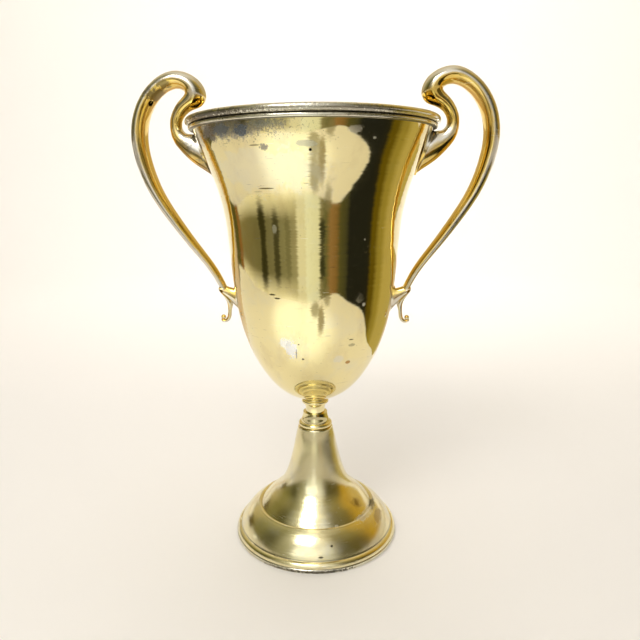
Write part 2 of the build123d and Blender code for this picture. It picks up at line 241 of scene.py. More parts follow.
def gilt_finish(name, colour, worn, gloss, brush, haze, marks=(), arch=None):
    """Gold plate over nickel over brass. Fine turning lines from the lathe and the polishing mop
    draw the highlights out, faint haze and cloudy wear show the silvery nickel through the gold,
    and small pits, specks and scratches break the mirror up."""
    made, tree, shader = finish_tree(name)
    shader.inputs["Metallic"].default_value = 1.0
    place = node(tree, "ShaderNodeTexCoord").outputs["Object"]

    def grain(waves, detail, turn=(0, 0, 0)):
        """Noise by the length of its waves along each axis, in millimetres."""
        scale = tuple(1 / (wave * MM) for wave in waves)
        run = node(tree, "ShaderNodeMapping", {"Vector": place, "Scale": scale, "Rotation": turn}).outputs[0]
        return node(tree, "ShaderNodeTexNoise", {"Vector": run, "Scale": 1.0, "Detail": detail,
                                                 "Roughness": 0.65}).outputs[0]

    # the real lines are under 0.1 mm apart, and are drawn coarser so that they show
    fine = grain((33, 33, LATHE_LINE), 3.0)
    broad = grain((55, 55, BUFFING_LINE), 2.0)
    cloud = grain((CLOUD_WIDTH,) * 3, 5.0)
    smear = grain((17, 17, 40), 4.0)
    wear = node(tree, "ShaderNodeMapRange", {0: cloud, 1: 0.5, 2: 0.74, 3: 0.0, 4: worn}).outputs[0]
    film = node(tree, "ShaderNodeMapRange", {0: smear, 1: 0.52, 2: 0.8, 3: 0.0, 4: 0.5}).outputs[0]
    rough = node(tree, "ShaderNodeMath", {0: cloud, 1: haze, 2: gloss}, operation="MULTIPLY_ADD").outputs[0]
    look = worn_layer(tree, (linear(colour), rough), wear, WORN_NICKEL, 0.05)
    look = worn_layer(tree, look, film, SMEARED_FILM, 0.06)
    if arch:
        # the faces that look away from the middle of the handle's arch turn silvery: partly nickel that hands
        # and cloths rub bare, partly painted reflection of the pale room
        out = node(tree, "ShaderNodeVectorMath", {0: place}, operation="ABSOLUTE").outputs[0]
        out = node(tree, "ShaderNodeVectorMath",
                   {0: out, 1: tuple(v * MM for v in arch)}, operation="SUBTRACT")
        out = node(tree, "ShaderNodeVectorMath", {0: out.outputs[0]}, operation="NORMALIZE").outputs[0]
        side = node(tree, "ShaderNodeVectorMath", {0: place}, operation="SIGN").outputs[0]
        face = node(tree, "ShaderNodeNewGeometry").outputs["Normal"]
        face = node(tree, "ShaderNodeVectorMath", {0: face, 1: side}, operation="MULTIPLY").outputs[0]
        away = node(tree, "ShaderNodeVectorMath", {0: out, 1: face}, operation="DOT_PRODUCT").outputs["Value"]
        away = node(tree, "ShaderNodeMath", {0: cloud, 1: 1.1, 2: away}, operation="MULTIPLY_ADD").outputs[0]
        rubbed_and_sheen = node(tree, "ShaderNodeMapRange", {0: away, 1: 0.5, 2: 0.85, 3: 0.0, 4: 0.85}).outputs[0]
        look = worn_layer(tree, look, rubbed_and_sheen, NICKEL_AND_PAINTED_SHEEN, 0.06)
        tarnish = node(tree, "ShaderNodeMath", {0: rubbed_and_sheen, 1: film}, operation="MULTIPLY").outputs[0]
        look = worn_layer(tree, look, tarnish, RUBBED_TARNISH, 0.2)
    # pits and specks under a millimetre across, thinly scattered
    cells = node(tree, "ShaderNodeTexVoronoi",
                 {"Vector": place, "Scale": 1 / (SPECK_GAP * MM), "Randomness": 1.0})
    sparse = node(tree, "ShaderNodeMath",
                  {0: cells.outputs["Color"], 1: SPECKLESS_SHARE}, operation="GREATER_THAN").outputs[0]
    spots = node(tree, "ShaderNodeMapRange", {0: cells.outputs["Distance"], 1: 0.05, 2: 0.12, 3: 0.8, 4: 0.0})
    specks = node(tree, "ShaderNodeMath", {0: spots.outputs[0], 1: sparse}, operation="MULTIPLY").outputs[0]
    look = worn_layer(tree, look, specks, PIT_BROWN, 0.3)
    # hairline scratches, bright one way and dark the other
    for turn, tone in SCRATCHES:
        lines = grain((SCRATCH_LENGTH, SCRATCH_LENGTH, SCRATCH_WIDTH), 1.0, turn)
        hair = node(tree, "ShaderNodeMapRange", {0: lines, 1: 0.74, 2: 0.79, 3: 0.0, 4: 0.6}).outputs[0]
        look = worn_layer(tree, look, hair, tone, 0.25)
    for middle, size, tone, dulling, cover, fray, spread in marks:
        mask = patch(tree, place, middle, size, fray, spread)
        mask = node(tree, "ShaderNodeMath", {0: mask, 1: cover}, operation="MULTIPLY").outputs[0]
        look = worn_layer(tree, look, mask, tone, dulling)
    # the lines' own relief, the dents of handling, and each line's slight waver to the side
    turning = node(tree, "ShaderNodeMath", {0: broad, 1: 0.8, 2: fine}, operation="MULTIPLY_ADD")
    relief = node(tree, "ShaderNodeMath",
                  {0: specks, 1: -1.2, 2: turning.outputs[0]}, operation="MULTIPLY_ADD").outputs[0]
    bump = node(tree, "ShaderNodeBump", {"Height": relief, "Strength": brush, "Distance": SPECK_DEPTH * MM})
    swell = node(tree, "ShaderNodeBump", {"Height": grain((45, 45, 90), 1.0), "Strength": 0.5,
                                          "Distance": DENT_DEPTH * MM, "Normal": bump.outputs[0]}).outputs[0]
    along = node(tree, "ShaderNodeVectorMath", {0: (0, 0, 1), 1: swell}, operation="CROSS_PRODUCT").outputs[0]
    sway = LINE_WAVER * brush
    waver = node(tree, "ShaderNodeMapRange", {0: grain((110, 110, SCRATCH_WIDTH), 2.0), 1: 0.25, 2: 0.75,
                                              3: -sway, 4: sway}).outputs[0]
    lean = node(tree, "ShaderNodeVectorMath", {0: along, "Scale": waver}, operation="SCALE").outputs[0]
    leant = node(tree, "ShaderNodeVectorMath", {0: swell, 1: lean}, operation="ADD").outputs[0]
    facing = node(tree, "ShaderNodeVectorMath", {0: leant}, operation="NORMALIZE").outputs[0]
    tree.links.new(look[0], shader.inputs["Base Color"])
    tree.links.new(look[1], shader.inputs["Roughness"])
    tree.links.new(facing, shader.inputs["Normal"])
    return made


# Marks on the bowl: middle, half sizes, tone, added roughness, cover, fraying and its spread.
BOWL_MARKS = [
    ((-46, -58, 289.0), (36, 40, 6.0), "#B2ACA0", 0.10, 0.75, 4.2, 2.6),
    ((-50, -56, 289.5), (34, 44, 5.5), "#5A5854", 0.14, 0.55, 1.3, 6.5),
    ((-30, -68, 266.0), (46, 40, 14.0), "#EAE6D0", 0.04, 0.4, 11.1, 2.4),
    ((-60, -48, 287.5), (8, 11, 4.5), "#7C7A78", 0.14, 0.7, 2.4, 3.2),
    ((-50, -60, 288.6), (8, 8, 4.0), "#6C7480", 0.14, 0.75, 1.9, 3.4),
    ((-37, -68, 287.5), (5, 6, 3.6), "#5E6C80", 0.14, 0.75, 1.8, 3.0),
    ((-22, -75, 290.5), (12, 8, 2.2), "#8C9088", 0.12, 0.6, 1.9, 3.0),
    ((-68, -30, 286.0), (8, 16, 6.0), "#8E8678", 0.12, 0.5, 2.4, 3.2),
    ((-24, -69.5, 278.3), (3.0, 3, 2.0), "#86827A", 0.2, 0.85, 1.1, 2.2),
    ((-29.5, -67.8, 279.4), (4.2, 3, 0.5), "#8A7C58", 0.15, 0.8, 3.3, 0.3),
    ((2.5, -72.6, 276.3), (1.05, 2, 0.95), "#16130E", 0.5, 1.0, 2.0, 0.25),
    ((0.5, -73.7, 279.6), (7, 4, 2.0), "#B9B7A2", 0.2, 0.7, 3.3, 0.9),
    ((-24.8, -60, 255.6), (6.5, 4, 0.45), "#5E4E22", 0.2, 0.9, 5.0, 0.3),
    ((27.6, -71.8, 287), (5, 4, 2.6), "#E8E4D4", 0.22, 0.7, 1.4, 1.5),
    ((38.3, -65, 282.8), (1.3, 1.5, 0.8), "#FFFDF0", 0.3, 0.9, 1.7, 0.4),
    ((-12.6, -47.7, 154.8), (4.4, 5, 7.4), "#E6E4E2", 0.24, 0.95, 1.6, 2.8),
    ((-16.5, -47.2, 158.5), (3.8, 5, 4.0), "#EEECE6", 0.22, 0.9, 1.4, 2.6),
    ((-9.2, -47.0, 152.5), (0.5, 2, 6.5), "#A49E98", 0.2, 0.9, 3.8, 0.3),
    ((-5.0, -45.6, 148.0), (1.1, 2, 1.0), "#4A4840", 0.3, 0.95, 1.4, 0.9),
    ((-7.5, -48.5, 158.6), (0.9, 2, 1.0), "#55524A", 0.3, 0.8, 1.4, 0.9),
    ((23.8, -38.4, 143.7), (2.0, 2.5, 1.6), "#A8782E", 0.2, 0.85, 2.4, 0.6),
    ((18.0, -43.0, 147.0), (4.5, 4, 3.0), "#E4E0D4", 0.2, 0.55, 2.4, 1.0),
    ((25.5, -42.5, 160.5), (2.3, 3, 0.55), "#3E3620", 0.3, 0.9, 2.0, 0.7),
    ((26.0, -41.5, 156.5), (2.8, 3, 1.3), "#8C8264", 0.2, 0.6, 1.4, 1.3),
    ((34.0, -44.3, 183.5), (1.4, 2, 1.6), "#F4F2E8", 0.3, 0.9, 1.7, 0.8),
    ((31.5, -46.5, 188.0), (3.6, 3, 3.8), "#C4C0AC", 0.2, 0.6, 1.3, 1.7),
    ((33.9, -48.4, 224.8), (0.7, 1, 0.7), "#FFFFF4", 0.3, 0.9, 2.0, 0.3),
    ((-20.5, -56.2, 231.8), (2.0, 2, 3.0), "#E6E8E0", 0.25, 0.6, 2.0, 1.0),
    ((-31.8, -43.4, 160.0), (2.2, 2.5, 1.8), "#F2E6C8", 0.2, 0.7, 1.7, 1.0),
    ((-23.5, -51.2, 191.0), (2.6, 3, 0.6), "#4A4224", 0.25, 0.95, 3.3, 0.3),
    ((-20.2, -52.0, 188.8), (2.4, 3, 0.6), "#4A4224", 0.25, 0.95, 3.3, 0.3),
]

# Gold-plated brass, mop polished: it mirrors the room, drawn out a little along lines round the piece.
bright_gilt = gilt_finish("gold_plated_brass_mop_polished", "#F3E6B0", worn=0.45, gloss=0.015, brush=0.1,
                          haze=0.07, marks=BOWL_MARKS)

outer_line = line_through(BOWL_OUTLINE, BOWL_ROWS)
inner_line = moved_out(outer_line, -SHEET)[:0:-1]
bowl_section = [(0.0, outer_line[0][1])] + [tuple(p) for p in outer_line[:-1]]
bowl_section += [(outer_line[-1][0] - LIP_EASE, BOWL_TOP - LIP_ROUND),
                 (outer_line[-1][0] - LIP_ROUND, BOWL_TOP),
                 (inner_line[0][0] + LIP_ROUND, BOWL_TOP), (inner_line[0][0], BOWL_TOP - LIP_ROUND)]
bowl_section += [tuple(p) for p in inner_line[1:] if p[1] > outer_line[0][1] + SHEET]
bowl_section += [(0.0, outer_line[0][1] + SHEET)]
bowl = spun("spun_bowl", bowl_section, bright_gilt)
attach(bowl, "root")
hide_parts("bowl")

# ---------------------------------------------------------------------------
# Rim moulding. A strip drawn with a round bead over a smaller reed, bent to a hoop,
# soldered round the mouth and plated with the bowl.
# ---------------------------------------------------------------------------
RIM_TOP = 300.0
BEAD_RADIUS = 2.2
BEAD_MIDDLE = 81.58
REED_RADIUS = 1.35
REED_MIDDLE = 80.55
REED_FOOT = 292.6
STRIP_BACK = 2.25
BEAD_ROWS = 18
WALL_FOOT_GAP = 0.4
SOLDER_GAP = 0.02
ALL_ROUND = (400, 400)
# the last two are painted shade in the grooves all round, under the bead and the reed
EDGE_MARKS = [
    ((-56, -55, 297.0), (34, 34, 2.8), "#5E564E", 0.18, 0.85, 1.6, 4.5),
    ((20, -80, 297.0), (60, 20, 2.6), "#8A8274", 0.16, 0.6, 1.6, 5.0),
    ((10, -60, 1.4), (30, 8, 1.1), "#2E2A22", 0.3, 0.85, 1.2, 4.5),
    ((-25, -56, 1.4), (26, 8, 1.0), "#5A5242", 0.3, 0.7, 1.2, 4.5),
    ((0, 0, 295.35), (*ALL_ROUND, 0.3), "#57503E", 0.2, 0.85, 3.3, 0.5),
    ((0, 0, 292.7), (*ALL_ROUND, 0.35), "#4A4434", 0.2, 0.85, 3.3, 0.5),
]


def arc(middle, radius, start, end, count=12):
    """Points of a round arc in a half section, by angles in degrees from straight out."""
    turns = np.radians(np.linspace(start, end, count))
    return [(middle[0] + radius * math.cos(a), middle[1] + radius * math.sin(a)) for a in turns]


# Gold plate worn thin on an edge: silvery and duller than the bowl, with painted shade in its grooves.
worn_edge = gilt_finish("gold_plated_brass_rubbed_edge", "#DEDAC8", worn=1.0, gloss=0.1, brush=0.08,
                        haze=0.14, marks=EDGE_MARKS)
wall_behind = [tuple(p) for p in outer_line if REED_FOOT + WALL_FOOT_GAP < p[1] < BOWL_TOP - LIP_ROUND][::-1]
rim_section = [(outer_line[-1][0] - STRIP_BACK, REED_FOOT)]
rim_section += arc((REED_MIDDLE, REED_FOOT + REED_RADIUS), REED_RADIUS, -90, 82)
rim_section += arc((BEAD_MIDDLE, RIM_TOP - BEAD_RADIUS), BEAD_RADIUS, -82, 96, BEAD_ROWS)
rim_section += [(outer_line[-1][0], BOWL_TOP + SOLDER_GAP)] + wall_behind + [rim_section[0]]
rim = spun("rim_strip", rim_section, worn_edge)
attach(rim, "root")
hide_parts("rim_moulding")

# ---------------------------------------------------------------------------
# Neck and ferrule. Both turned from brass bar: the neck has a bead under the bowl and
# stands by its tenon in the ferrule, which flares to a bead on top of the foot.
# ---------------------------------------------------------------------------
FERRULE_BASE = 83.4
FERRULE_TOP = 94.3
NECK_TOP = 105.0
TENON_RADIUS = 5.9
TENON_LOW = 88.3
STUD_HOLE_TOP = 101.3
STUD_RADIUS = 2.5
TENON_ROUND = 0.4
NECK_SIDE = [(7.05, FERRULE_TOP), (7.1, 97.0), (7.5, 99.4), (8.45, STUD_HOLE_TOP)]
NECK_BEAD = (8.45, 102.75)
NECK_BEAD_RADIUS = 1.45
NECK_SEAT = [(7.95, 104.25), (7.9, 104.6), (8.0, NECK_TOP)]
FERRULE_SIDE = [(10.5, 87.25), (10.35, 88.1), (9.6, 90.6), (8.9, FERRULE_TOP)]
FERRULE_BEAD_RADIUS = 1.9
FERRULE_BEAD_REACH = 10.5
SOCKET_RADIUS = 6.0
SOCKET_FLOOR = 88.2
STUD_HOLE_RADIUS = 2.8
TURNED_FACETS = 128
TURNED_ROWS = 24
TURNED_CREASE = 50

neck_section = [(0.0, STUD_HOLE_TOP), (STUD_RADIUS, STUD_HOLE_TOP), (STUD_RADIUS, TENON_LOW)]
neck_section += [(TENON_RADIUS - TENON_ROUND, TENON_LOW), (TENON_RADIUS, TENON_LOW + TENON_ROUND)]
neck_section += [(TENON_RADIUS, FERRULE_TOP)] + [tuple(p) for p in line_through(NECK_SIDE, TURNED_ROWS)]
neck_section += arc(NECK_BEAD, NECK_BEAD_RADIUS, -90, 90, BEAD_ROWS) + NECK_SEAT + [(0.0, NECK_TOP)]
neck = spun("turned_neck", neck_section, bright_gilt, TURNED_FACETS, TURNED_CREASE)

ferrule_section = [(STUD_HOLE_RADIUS, FERRULE_BASE), (FERRULE_BEAD_REACH, FERRULE_BASE)]
ferrule_section += arc((FERRULE_BEAD_REACH, FERRULE_BASE + FERRULE_BEAD_RADIUS), FERRULE_BEAD_RADIUS,
                       -90, 90, BEAD_ROWS)
ferrule_section += [tuple(p) for p in line_through(FERRULE_SIDE, TURNED_ROWS)]
ferrule_section += [(SOCKET_RADIUS, FERRULE_TOP), (SOCKET_RADIUS, SOCKET_FLOOR)]
ferrule_section += [(STUD_HOLE_RADIUS, SOCKET_FLOOR), (STUD_HOLE_RADIUS, FERRULE_BASE)]
ferrule = spun("turned_ferrule", ferrule_section, bright_gilt, TURNED_FACETS, TURNED_CREASE)
for piece, covered in ((neck, "neck"), (ferrule, "ferrule")):
    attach(piece, "root")
    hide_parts(covered)

# ---------------------------------------------------------------------------
# Foot. One sheet spun into a flange, an ovolo dome, a raised ridge and a tall bell,
# soldered on a heavy edge wire that takes the wear of standing and sliding.
# ---------------------------------------------------------------------------
FOOT_TOP = 83.4
WIRE_HEIGHT = 3.0
WIRE_RADIUS = 61.0
WIRE_WIDTH = 3.6
WIRE_ROUND = 0.9
FLANGE = [(60.6, WIRE_HEIGHT), (57.6, 6.8)]
COVE = [(57.05, 7.7), (56.9, 8.0)]
DOME_TOP = (44.2, 22.3)
RIDGE = [(43.9, 22.55), (43.5, 22.8), (43.0, 22.9), (42.5, 22.8), (42.1, 22.55)]
FLANGE_BULGE = 0.9
DOME_BULGE = 1.4
BELL = [(41.8, 22.3), (34.6, 30.1), (26.5, 37.9), (22.4, 45.1), (19.0, 55.4), (16.1, 67.4), (14.05, 77.6),
        (12.9, 82.4)]
FOOT_SHOULDER = [(12.75, 82.9), (12.4, FOOT_TOP)]
FOOT_SHOULDER_INSIDE = 11.7
FLANGE_INSIDE = 59.55
TOP_CORNER_GAP = 0.2
DOME_ROWS = 36
BELL_ROWS = 70
FOOT_CREASE = 35
WIRE_ROWS = 8


def bowed(start, end, bulge, count=16):
    """Points of a shallow arc between two section points, bulging away from the axis."""
    start, end = np.array(start, float), np.array(end, float)
    chord = end - start
    outward = np.array([chord[1], -chord[0]]) / np.linalg.norm(chord)
    shares = np.linspace(0, 1, count)
    return [tuple(start + chord * s + outward * bulge * 4 * s * (1 - s)) for s in shares]


# the last two are painted shade all round, in the groove over the flange and over the wire
FOOT_MARKS = [
    ((36.5, -19.0, 22.4), (10, 14, 1.5), "#F0EEE6", 0.2, 0.95, 1.4, 3.4),
    ((42.5, -6.0, 22.6), (3.0, 9, 1.3), "#5A5448", 0.3, 0.8, 1.1, 5.0),
    ((32.0, -25.0, 22.3), (8, 5, 1.1), "#DCD6C8", 0.2, 0.85, 1.6, 1.6),
    ((16.5, -38.0, 22.3), (1.6, 2, 1.4), "#EEE8D4", 0.2, 0.9, 1.9, 0.9),
    ((30.9, -17.5, 29.2), (5.0, 4.0, 3.0), "#7C6628", 0.2, 0.8, 0.9, 6.0),
    ((13.4, -50.7, 15.1), (1.0, 1.2, 0.8), "#3C3828", 0.3, 0.95, 2.0, 0.3),
    ((46.0, -14.0, 17.5), (5, 10, 4), "#B8A88C", 0.15, 0.7, 2.4, 1.5),
    ((6.0, -55.9, 9.5), (1.9, 1.6, 0.7), "#5A5440", 0.3, 0.9, 1.9, 0.9),
    ((0, 0, 7.4), (*ALL_ROUND, 0.45), "#6A6044", 0.15, 0.6, 3.3, 0.5),
    ((0, 0, 3.1), (*ALL_ROUND, 0.3), "#4E4838", 0.2, 0.75, 2.0, 1.0),
]
# Gold-plated brass left satin by the brush: it blurs what it mirrors into soft, broad bands.
satin_gilt = gilt_finish("gold_plated_brass_satin_foot", "#EEE4B8", worn=1.0, gloss=0.13, brush=0.14,
                         haze=0.12, marks=FOOT_MARKS)
foot_line = bowed(*FLANGE, FLANGE_BULGE) + bowed(*COVE, 0.0, 3)
foot_line += bowed(COVE[-1], DOME_TOP, DOME_BULGE, DOME_ROWS)[1:] + RIDGE
foot_line += [tuple(p) for p in line_through(BELL, BELL_ROWS)]
foot_line += FOOT_SHOULDER + [(STUD_HOLE_RADIUS, FOOT_TOP)]
foot_inside = [tuple(p) for p in moved_out(foot_line[:-2], -SHEET)][::-1]
foot_inside = [p for p in foot_inside if WIRE_HEIGHT < p[1] < FOOT_TOP - SHEET - TOP_CORNER_GAP]
foot_section = foot_line + [(STUD_HOLE_RADIUS, FOOT_TOP - SHEET), (FOOT_SHOULDER_INSIDE, FOOT_TOP - SHEET)]
foot_section += foot_inside + [(FLANGE_INSIDE, WIRE_HEIGHT), foot_line[0]]
foot = spun("spun_foot", foot_section, satin_gilt, BOWL_FACETS, FOOT_CREASE)
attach(foot, "root")
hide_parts("foot_shell")

wire_section = [(WIRE_RADIUS - WIRE_WIDTH, 0.0)]
wire_section += arc((WIRE_RADIUS - WIRE_ROUND, WIRE_ROUND), WIRE_ROUND, -90, 0, WIRE_ROWS)
wire_section += arc((WIRE_RADIUS - WIRE_ROUND, WIRE_HEIGHT - WIRE_ROUND), WIRE_ROUND, 0, 90, WIRE_ROWS)
wire_section += [(WIRE_RADIUS - WIRE_WIDTH, WIRE_HEIGHT), (WIRE_RADIUS - WIRE_WIDTH, 0.0)]
edge_wire = spun("foot_edge_wire", wire_section, worn_edge)
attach(edge_wire, "root")
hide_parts("foot_wire")

# ---------------------------------------------------------------------------
# Fixings. A steel stud, flat washer, split washer and nut inside the foot pull the
# whole cup together. They keep their machined shapes, and get bright zinc with a dull bloom.
# ---------------------------------------------------------------------------
BLOOM_WIDTH = 3.0
# Bright zinc plate on steel: pale and cool, with patches of grey bloom that blur it.
zinc_steel, tree, shader = finish_tree("zinc_plated_steel")
shader.inputs["Metallic"].default_value = 1.0
place = node(tree, "ShaderNodeTexCoord").outputs["Object"]
cloud = node(tree, "ShaderNodeTexNoise", {"Vector": place, "Scale": 1 / (BLOOM_WIDTH * MM), "Detail": 5.0})
bloom = node(tree, "ShaderNodeMapRange", {0: cloud.outputs[0], 1: 0.4, 2: 0.7, 3: 0.0, 4: 0.7}).outputs[0]
look = worn_layer(tree, (linear("#B9BCC0"), 0.28), bloom, "#8E8F8C", 0.25)
tree.links.new(look[0], shader.inputs["Base Color"])
tree.links.new(look[1], shader.inputs["Roughness"])
for fixing in ("tie_stud", "flat_washer", "lock_washer", "hex_nut"):
    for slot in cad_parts[fixing].material_slots:
        slot.material = zinc_steel

# ---------------------------------------------------------------------------
# Handles. Each is two struck brass shells soldered along the middle of the strap, so it
# is hollow, with a small vent drilled for the solder gas. One smooth strap stands for both.
# ---------------------------------------------------------------------------
# where the strap meets the bowl: by the bowl's shape, and as the strap's stations were drawn
UPPER_JOINT = (75.521, 279.475)
LOWER_JOINT = (55.808, 179.379)
DRAWN_UPPER = (75.6, 279.5)
DRAWN_LOWER = (56.0, 179.0)
HANDLE_WALL = 1.1
# along the strap's middle: reach, height, tilt of its section, half thickness and half width
STATIONS = [
    (73.2, 277.6, 68, 15.0, 7.4), (78.6, 280.4, 72, 12.4, 7.1), (83.8, 283.2, 82, 9.4, 6.4),
    (88.4, 287.3, 101, 6.6, 5.6), (91.7, 292.0, 133, 4.9, 5.0), (92.6, 296.8, 163, 4.1, 4.9),
    (92.0, 301.4, 185, 4.1, 5.2), (89.5, 306.2, 200, 4.4, 6.0), (85.4, 310.1, 206, 5.4, 7.0),
    (80.6, 313.1, 203, 6.8, 8.2), (78.3, 316.9, 188, 7.0, 9.0), (79.2, 321.0, 163, 6.4, 9.4),
    (83.6, 325.0, 126, 5.7, 9.5), (91.8, 326.8, 92, 5.5, 9.5), (101.0, 323.4, 66, 5.2, 9.5),
    (110.0, 314.8, 37, 5.0, 9.5), (116.2, 302.2, 12, 5.0, 9.5), (118.0, 287.5, -3, 5.0, 9.2),
    (115.1, 270.5, -18, 4.8, 8.8), (107.8, 252.0, -27, 4.2, 8.0), (96.5, 233.8, -33, 3.6, 7.0),
    (82.6, 214.6, -35, 3.0, 5.9), (71.0, 198.6, -33, 2.6, 4.9), (64.4, 186.0, -22, 2.4, 4.2),
]
PAD_THICKNESS = 1.5
STRAP_ROWS = 300
STRAP_ROUND = 64
PLUG_FACETS = 192
VENT_RADIUS = 2.0
VENT_PLACE = (110.5, 314.0)
VENT_TILT = 36
VENT_INWARDS = 0.62
VENT_SIDEWAYS = 0.78
DRILL_LENGTH = 15.0


def fitted(reach, height):
    """A drawn handle point, moved as the two joints on the bowl ask."""
    share = (height - DRAWN_LOWER[1]) / (DRAWN_UPPER[1] - DRAWN_LOWER[1])
    drawn = DRAWN_LOWER[0] + (DRAWN_UPPER[0] - DRAWN_LOWER[0]) * share
    chord = LOWER_JOINT[0] + (UPPER_JOINT[0] - LOWER_JOINT[0]) * share
    return chord + reach - drawn, LOWER_JOINT[1] + (UPPER_JOINT[1] - LOWER_JOINT[1]) * share


def strap_ring(station, inset, around):
    """The points of one oval section of the strap."""
    reach, height, tilt, half_thick, half_wide = station
    x, z = fitted(reach, height)
    lean = math.radians(tilt)
    ring = []
    for turn in np.linspace(0, 2 * math.pi, around, endpoint=False):
        out = (half_thick - inset) * math.cos(turn)
        aside = (half_wide - inset) * math.sin(turn)
        ring.append((x + out * math.cos(lean), aside, z + out * math.sin(lean)))
    return ring


def tube_faces(start, rows, around, inwards=False):
    """Quads between the rings of a tube, facing outwards unless asked otherwise."""
    faces = []
    for i in range(rows - 1):
        for j in range(around):
            a, b = start + i * around + j, start + i * around + (j + 1) % around
            face = (a, b, b + around, a + around)
            faces.append(face[::-1] if inwards else face)
    return faces


def cut(piece, *cutters):
    """Takes the cutters' shapes away from a piece and removes them."""
    for cutter in cutters:
        boolean = piece.modifiers.new("cut", "BOOLEAN")
        boolean.operation = "DIFFERENCE"
        boolean.solver = "EXACT"
        boolean.object = cutter
        made_plain(piece)
        bpy.data.objects.remove(cutter)
    return piece


def bowl_plug(distance):
    """A solid the shape of the bowl, grown by a distance, to trim what is fitted against it."""
    line = moved_out(outer_line, distance)
    section = [(0.0, line[0][1])] + [tuple(p) for p in line] + [(0.0, line[-1][1])]
    return spun("plug", section, None, PLUG_FACETS)


def rod(name, start, way, radius, length, sides=48):
    """A plain round bar from a point, along a direction."""
    way = Vector(way).normalized()
    aside = way.orthogonal().normalized()
    above = way.cross(aside)
    points = []
    for reach in (0, length):
        for turn in np.linspace(0, 2 * math.pi, sides, endpoint=False):
            points.append(tuple(Vector(start) + way * reach + aside * radius * math.cos(turn)
                                + above * radius * math.sin(turn)))
    faces = tube_faces(0, 2, sides)
    faces += [tuple(range(sides))[::-1], tuple(range(sides, 2 * sides))]
    return mesh_object(name, points, faces)


def turned_round(piece):
    """Turns a right handle piece half round the axis to make the left one."""
    piece.data.transform(Matrix.Rotation(math.pi, 4, "Z"))
    return piece


ARCH_MIDDLE = (88, 0, 248)
HANDLE_MARKS = [
    ((-105, -4, 317.5), (9, 8, 5.5), "#57503F", 0.25, 0.75, 2.1, 1.6),
    ((-98, -6, 323.5), (6, 6, 3.5), "#665E4A", 0.25, 0.7, 1.9, 1.6),
    ((-121, -3, 296.0), (3, 8, 14), "#6A6250", 0.2, 0.6, 2.4, 1.6),
    ((-86, 0, 283.0), (9, 9, 9), "#7C766A", 0.2, 0.6, 2.6, 1.5),
    ((-72, -6, 268.0), (9, 12, 10), "#8C8478", 0.15, 0.6, 2.4, 2.6),
]
# Gold plate on struck brass: deep gold inside the arch, silvery on the outer faces where hands hold it,
# partly nickel worn bare and partly painted reflection of the pale room.
handle_gilt = gilt_finish("gold_plated_brass_struck_handle", "#EBCB6E", worn=0.35, gloss=0.06, brush=0.07,
                          haze=0.12, marks=HANDLE_MARKS, arch=ARCH_MIDDLE)


def handle_strap(name, finish):
    """One hollow strap, right hand: outer and inner wall, closed at both ends, trimmed and vented."""
    rows = line_through(STATIONS, STRAP_ROWS)
    points = [p for row in rows for p in strap_ring(row, 0, STRAP_ROUND)]
    points += [p for row in rows for p in strap_ring(row, HANDLE_WALL, STRAP_ROUND)]
    inner = STRAP_ROWS * STRAP_ROUND
    faces = tube_faces(0, STRAP_ROWS, STRAP_ROUND)
    faces += tube_faces(inner, STRAP_ROWS, STRAP_ROUND, inwards=True)
    for j in range(STRAP_ROUND):
        k = (j + 1) % STRAP_ROUND
        last = inner - STRAP_ROUND
        faces.append((k, j, inner + j, inner + k))
        faces.append((last + j, last + k, inner + last + k, inner + last + j))
    strap = mesh_object(name, points, faces, finish)
    lean = math.radians(VENT_TILT)
    way = (-VENT_INWARDS * math.cos(lean), VENT_SIDEWAYS, -VENT_INWARDS * math.sin(lean))
    x, z = fitted(*VENT_PLACE)
    return cut(strap, bowl_plug(PAD_THICKNESS), rod("drill", (x, 0, z), way, VENT_RADIUS, DRILL_LENGTH))


for fitting in ("upper_pad", "lower_pad", "lower_boss", "tail_scroll"):
    for side in ("right", "left"):
        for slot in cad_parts[side + "_" + fitting].material_slots:
            slot.material = handle_gilt
for side in ("right", "left"):
    strap = handle_strap(side + "_handle_strap", handle_gilt)
    if side == "left":
        turned_round(strap)
    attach(strap, "root")
    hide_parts(side + "_handle_inner_half", side + "_handle_vented_half")

# ---------------------------------------------------------------------------
# Studio. Seamless pale paper makes the floor and the backdrop in one sweep. Polished metal
# shows only what it mirrors, so a drum of soft room tones stands round the cup and cards
# lie on the paper; nothing but reflections sees them.
# ---------------------------------------------------------------------------
SWEEP_FLAT = 1500.0
SWEEP_BEND = 900.0
SWEEP_TOP = 3000.0
SWEEP_ROWS = 24
SWEEP_FACETS = 96
# Matt paper: one even pale tone with no gloss.
paper, tree, shader = finish_tree("seamless_paper_matt")
shader.inputs["Base Color"].default_value = linear("#FBF8F3")
shader.inputs["Roughness"].default_value = 0.95
sweep_section = [(0.0, 0.0), (SWEEP_FLAT, 0.0)]
sweep_section += arc((SWEEP_FLAT, SWEEP_BEND), SWEEP_BEND, -90, 0, SWEEP_ROWS)
sweep_section += [(SWEEP_FLAT + SWEEP_BEND, SWEEP_TOP)]
sweep = spun("paper_sweep", sweep_section, paper, SWEEP_FACETS)


def mirrored_only(piece):
    """Hides a studio piece from everything but reflections."""
    piece.visible_camera = False
    piece.visible_diffuse = False
    piece.visible_shadow = False
    return piece


def glowing(name, colour, glow=1.0):
    """A plain self-lit tone for the studio's cards, with no gloss of its own."""
    face, tree, shader = finish_tree(name)
    shader.inputs["Base Color"].default_value = (0, 0, 0, 1)
    shader.inputs["Specular IOR Level"].default_value = 0.0
    shader.inputs["Emission Color"].default_value = linear(colour)
    shader.inputs["Emission Strength"].default_value = glow
    return face, tree, shader


